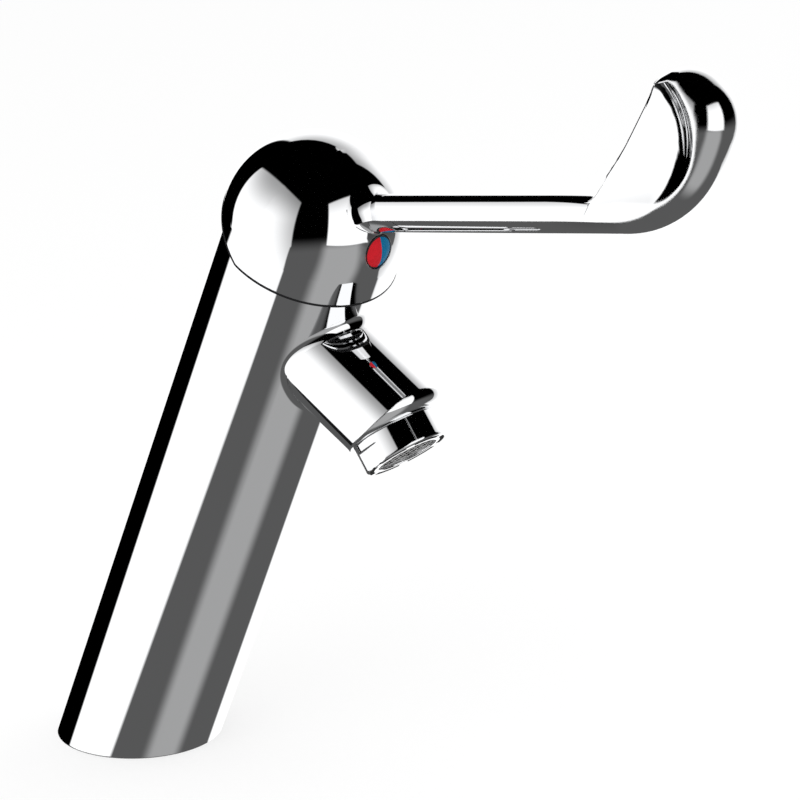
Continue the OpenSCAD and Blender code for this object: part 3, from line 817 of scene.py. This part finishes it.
def spout_fillet():
    """Fillet where the spout leaves the tube."""
    spout, tube = SPOUT_R + SPOUT_FILLET, BODY_R + SPOUT_FILLET
    inner = SPOUT_R - FILLET_BURIED
    lines = []
    for k in range(SPOUT_STEPS):
        turn = 2 * math.pi * k / SPOUT_STEPS
        c, s = math.cos(turn), math.sin(turn)
        deep = math.sqrt(tube ** 2 - (spout * c) ** 2)
        centre = Vector((spout * c, -deep, spout * s))
        on_spout = Vector((SPOUT_R * c, -deep, SPOUT_R * s))
        on_tube = Vector((spout * c * BODY_R / tube, -deep * BODY_R / tube, spout * s))
        wall = math.sqrt(BODY_R ** 2 - (inner * c) ** 2)
        inside = Vector((inner * c, FILLET_BURIED - wall, inner * s))
        line = hollow(centre, on_spout, on_tube, inside)
        lines.append([(on_body(p.x, p.y, SPOUT_T + p.z), on_body(*n).normalized()) for p, n in line])
    fillet_ring("spout_fillet", lines, "tap")


def arm_outline():
    """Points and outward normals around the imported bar's section, as side and height."""
    side = ARM_W / 2
    deep = ARM_CREST + ARM_EDGE
    crown = (side ** 2 + deep ** 2) / (2 * deep)
    reach = math.asin(side / crown)
    half = []
    for i in range(OUTLINE_STEPS + 1):
        a = reach * i / OUTLINE_STEPS
        c, s = math.cos(a), math.sin(a)
        half.append(((crown * s, crown - ARM_CREST - crown * c), (s, -c)))
    for i in range(1, OUTLINE_FAN + 1):
        tilt = (reach - math.pi / 2) * (1 - i / OUTLINE_FAN)
        half.append(((side, ARM_EDGE), (math.cos(tilt), math.sin(tilt))))
    for i in range(OUTLINE_STEPS + 1):
        a = math.pi / 2 * i / OUTLINE_STEPS
        c, s = math.cos(a), math.sin(a)
        half.append(((side - ARM_ROUND + ARM_ROUND * c, ARM_TOP - ARM_ROUND + ARM_ROUND * s), (c, s)))
    for i in range(1, OUTLINE_FAN + 1):
        half.append((((side - ARM_ROUND) * (1 - i / OUTLINE_FAN), ARM_TOP), (0.0, 1.0)))
    other = [((-x, y), (-nx, ny)) for (x, y), (nx, ny) in reversed(half) if x > ON_MIDDLE]
    return half + other


def lever_fillet():
    """Fillet where the bar leaves the cap, small below the bar and wide above it."""
    lines = []
    for (side, up), (out_side, out_up) in arm_outline():
        spot = Vector((BALL_R, up, side))
        out = draw_in_normal(spot, Vector((0, out_up, out_side)))
        edge = draw_in(spot)
        grown = soft_step(out.y, *LEVER_FILLET_GROWS)
        radius = LEVER_FILLET_UNDER + (LEVER_FILLET_OVER - LEVER_FILLET_UNDER) * grown
        beside, above = edge.z + radius * out.z, edge.y + radius * out.y
        far = math.sqrt((BALL_R + radius) ** 2 - beside ** 2 - above ** 2)
        centre = Vector((far, above, beside))
        on_arm = Vector((far, edge.y, edge.z))
        on_ball = centre * (BALL_R / (BALL_R + radius))
        inside = onto_ball(edge - out * FILLET_BURIED) - Vector((FILLET_BURIED, 0, 0))
        line = hollow(centre, on_arm, on_ball, inside)
        lines.append([(on_lever(*q), (on_lever(*n) - LEVER_ROOT).normalized()) for q, n in line])
    fillet_ring("lever_fillet", lines, "lever")


# Painted shade: black pieces that stand in for shade; lengths in millimetres

BEAD_THICK = 1.0
BEAD_PROUD = 0.12
BEAD_DROP = 0.3
BEAD_STEPS = 192
BEAD_SIDES = 10
SLOT_COUNT = 6
SLOT_INNER = 10.35
SLOT_OUTER = 11.75
SLOT_GAP = math.radians(14)
SLOT_SUNK = 0.3
SLOT_PROUD = 0.04
SLOT_STEPS = 14


def rim_shade_bead():
    """Black bead that follows the cap's lower rim, level in front and rising behind: painted shade standing in
    for the shadow gap under the rim.
    """
    mesh = bmesh.new()
    middle = BALL_R - BEAD_THICK / 2 + BEAD_PROUD
    start = RIM_Z * math.tan(LIFT / 2)
    rows = []
    for k in range(BEAD_STEPS):
        turn = 2 * math.pi * k / BEAD_STEPS
        row = []
        for i in range(BEAD_SIDES):
            a = 2 * math.pi * i / BEAD_SIDES
            r = middle + BEAD_THICK / 2 * math.cos(a)
            x, y = r * math.sin(turn), -r * math.cos(turn)
            rise = max(0.0, (y - start) * math.tan(LIFT))
            t = BALL_T - RIM_Z - BEAD_DROP + rise + BEAD_THICK / 2 * math.sin(a)
            row.append(mesh.verts.new(on_body(x, y, t)))
        rows.append(row)
    for row, following in zip(rows, rows[1:] + rows[:1]):
        skin(mesh, row, following, True)
    # Painted shade: this black ring stands where the gap under the cap's rim is only in shadow
    show("cap_rim_shade_bead", close_mesh("cap_rim_shade_bead", mesh, FINISHES["rubber"]), "lever")


def air_slot_shade():
    """Painted shade of the air inlets around the outlet's face: black arcs set into the collar's end where the
    openings would be in shade.
    """
    mesh = bmesh.new()
    low, high = OUTLET_END - SLOT_SUNK, OUTLET_END + SLOT_PROUD
    section = ((SLOT_INNER, low), (SLOT_OUTER, low), (SLOT_OUTER, high), (SLOT_INNER, high))
    span = 2 * math.pi / SLOT_COUNT - SLOT_GAP
    for k in range(SLOT_COUNT):
        first = 2 * math.pi * k / SLOT_COUNT + SLOT_GAP / 2
        rows = []
        for i in range(SLOT_STEPS + 1):
            a = first + span * i / SLOT_STEPS
            c, s = math.cos(a), math.sin(a)
            rows.append([mesh.verts.new(on_outlet(r * c, r * s, z)) for r, z in section])
        for row, following in zip(rows, rows[1:]):
            skin(mesh, row, following, False)
        mesh.faces.new(rows[0])
        mesh.faces.new(rows[-1])
    # Painted shade: solid black arcs stand in for the shaded openings of the slots
    show("air_slot_shade", close_mesh("air_slot_shade", mesh, FINISHES["rubber"]), "tap")


place_camera()
light_studio()
lay_floor()
for lamp_row in LAMPS:
    hang_lamp(*lamp_row)
dress_nodes()
spout_fillet()
lever_casting()
flush_button()
lever_fillet()
rim_shade_bead()
air_slot_shade()

bpy.context.scene.view_settings.view_transform = "Standard"
